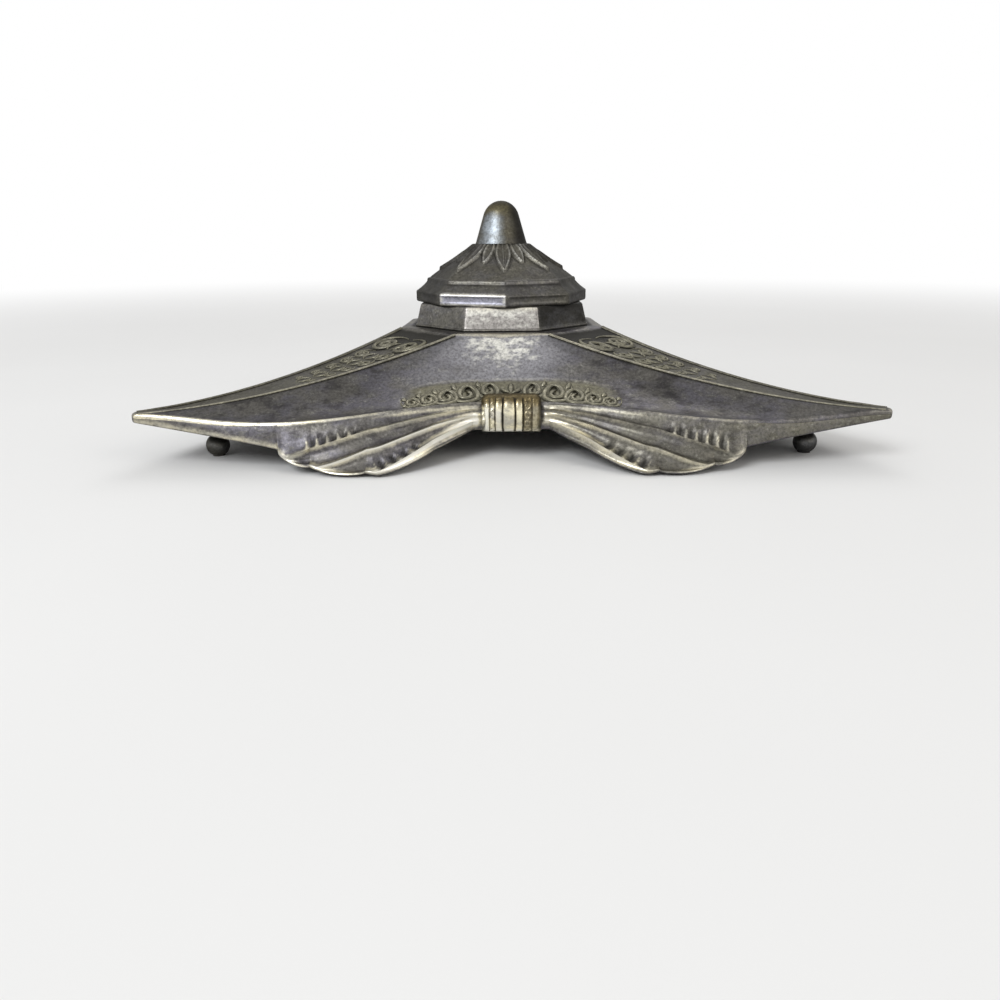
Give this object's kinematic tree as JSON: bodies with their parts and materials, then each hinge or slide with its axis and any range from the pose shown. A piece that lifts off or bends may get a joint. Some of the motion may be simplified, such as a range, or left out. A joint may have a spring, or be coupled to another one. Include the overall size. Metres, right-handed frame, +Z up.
{
  "type": "desk inkstand",
  "caption": "Low hollow cast inkstand with pointed arms, fan aprons and clasps, an octagonal neck, a glass ink pot and a lift-off lid.",
  "frame": {"origin": "on the table, in the middle of the circle of the three feet", "axes": "+Z up; the front side and its clasp face -Y; +X runs along the front side, from arm tip to arm tip; the third arm points to +Y"},
  "size_m": [0.164, 0.1511, 0.0555],
  "materials": {
    "bronze_body": "aged cast bronze, dark grey-brown patina with rubbed edges",
    "bronze_neck": "aged cast bronze, upper edges rubbed pale",
    "brass_clasp": "worn bright brass with dark recesses",
    "bronze_foot": "dark patina",
    "ink_glass": "clear moulded glass",
    "ring_brass": "plain turned brass",
    "bronze_lid": "aged cast bronze, leaf relief, rim rubbed pale",
    "bronze_knob": "smooth aged bronze, head rubbed"
  },
  "bodies": {
    "stand": {"body_shell": "bronze_body", "neck_ring": "bronze_neck", "clasp_front": "brass_clasp", "clasp_rear_right": "brass_clasp", "clasp_rear_left": "brass_clasp", "foot_right": "bronze_foot", "foot_rear": "bronze_foot", "foot_left": "bronze_foot"},
    "pot": {"ink_pot": "ink_glass"},
    "ring": {"lid_ring": "ring_brass"},
    "lid": {"lid_casting": "bronze_lid", "lid_knob": "bronze_knob"}
  },
  "joints": [
    {"name": "pot_lift", "type": "slide", "parent": "stand", "child": "pot", "axis": [0, 0, 1], "range_m": [0, 0.04]},
    {"name": "lid_lift", "type": "slide", "parent": "pot", "child": "ring", "axis": [0, 0, 1], "range_m": [0, 0.06]},
    {"name": "lid_turn", "type": "hinge", "parent": "ring", "child": "lid", "pos_m": [-0.002, 0, 0.031], "axis": [0, 0, 1], "continuous": true}
  ]
}
